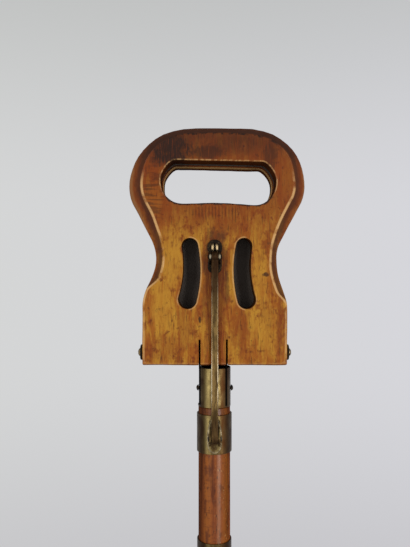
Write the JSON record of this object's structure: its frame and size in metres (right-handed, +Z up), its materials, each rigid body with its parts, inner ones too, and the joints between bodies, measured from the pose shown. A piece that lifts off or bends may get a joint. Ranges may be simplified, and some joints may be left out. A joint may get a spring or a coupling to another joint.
{
  "type": "walking stick seat",
  "caption": "Cane whose wooden head opens on hinge rods into a two-board seat, held by struts to a collar that slides down onto a stop ring.",
  "frame": {"origin": "middle of the flat foot of the steel tip, on the ground", "axes": "+Z up along the cane from tip to head; +X along the hinge rods, to the right as seen from the front; -Y towards the front board, the side that the picture shows"},
  "size_m": [0.1514, 0.0724, 0.8865],
  "materials": {
    "board_wood": "worn amber varnish",
    "cane_wood": "reddish brown varnish",
    "brass": "aged, brown patina",
    "strut_brass": "rubbed, dull",
    "dark_iron": "browned iron",
    "worn_steel": "worn",
    "lining_leather": "dark, matt"
  },
  "bodies": {
    "stick": {"shaft": "cane_wood", "head_socket": "brass", "cheek_plate_left": "dark_iron", "cheek_plate_right": "dark_iron", "socket_rivet": "dark_iron", "stop_ring": "brass", "stop_ring_pin": "brass", "ferrule": "brass", "ferrule_pin": "brass", "steel_tip": "worn_steel"},
    "front_board": {"front_board": "board_wood", "front_lining": "lining_leather", "front_hinge_rod": "dark_iron", "front_washer_left": "dark_iron", "front_washer_right": "dark_iron", "front_lug": "dark_iron", "front_lug_pin": "dark_iron", "front_lug_screw_upper": "worn_steel", "front_lug_screw_lower": "worn_steel"},
    "back_board": {"back_board": "board_wood", "back_lining": "lining_leather", "back_hinge_rod": "dark_iron", "back_washer_left": "dark_iron", "back_washer_right": "dark_iron", "back_lug": "dark_iron", "back_lug_pin": "dark_iron", "back_lug_screw_upper": "worn_steel", "back_lug_screw_lower": "worn_steel"},
    "collar": {"collar": "brass", "front_clevis": "brass", "front_clevis_pin_left": "dark_iron", "front_clevis_pin_right": "dark_iron", "back_clevis": "brass", "back_clevis_pin_left": "dark_iron", "back_clevis_pin_right": "dark_iron"},
    "front_strut": {"front_strut": "strut_brass", "front_strut_pin_core": "dark_iron"},
    "back_strut": {"back_strut": "strut_brass", "back_strut_pin_core": "dark_iron"}
  },
  "joints": [
    {"name": "front_fold", "type": "hinge", "parent": "stick", "child": "front_board", "pos_m": [0, -0.0165, 0.694], "axis": [1, 0, 0], "range_deg": [0, 90]},
    {"name": "back_fold", "type": "hinge", "parent": "stick", "child": "back_board", "pos_m": [0, 0.0165, 0.694], "axis": [-1, 0, 0], "range_deg": [0, 90]},
    {"name": "collar_slide", "type": "slide", "parent": "stick", "child": "collar", "axis": [0, 0, -1], "range_m": [0, 0.07758]},
    {"name": "front_strut_swing", "type": "hinge", "parent": "front_board", "child": "front_strut", "pos_m": [0, -0.032, 0.776], "axis": [-1, 0, 0], "range_deg": [0, 64.35]},
    {"name": "back_strut_swing", "type": "hinge", "parent": "back_board", "child": "back_strut", "pos_m": [0, 0.032, 0.776], "axis": [1, 0, 0], "range_deg": [0, 64.35]}
  ],
  "couplings": [
    {"joint": "back_fold", "follows": "front_fold", "ratio": 1},
    {"joint": "collar_slide", "follows": "front_fold", "m_per_rad": 0.049388},
    {"joint": "front_strut_swing", "follows": "front_fold", "ratio": 0.71497},
    {"joint": "back_strut_swing", "follows": "front_fold", "ratio": 0.71497}
  ]
}
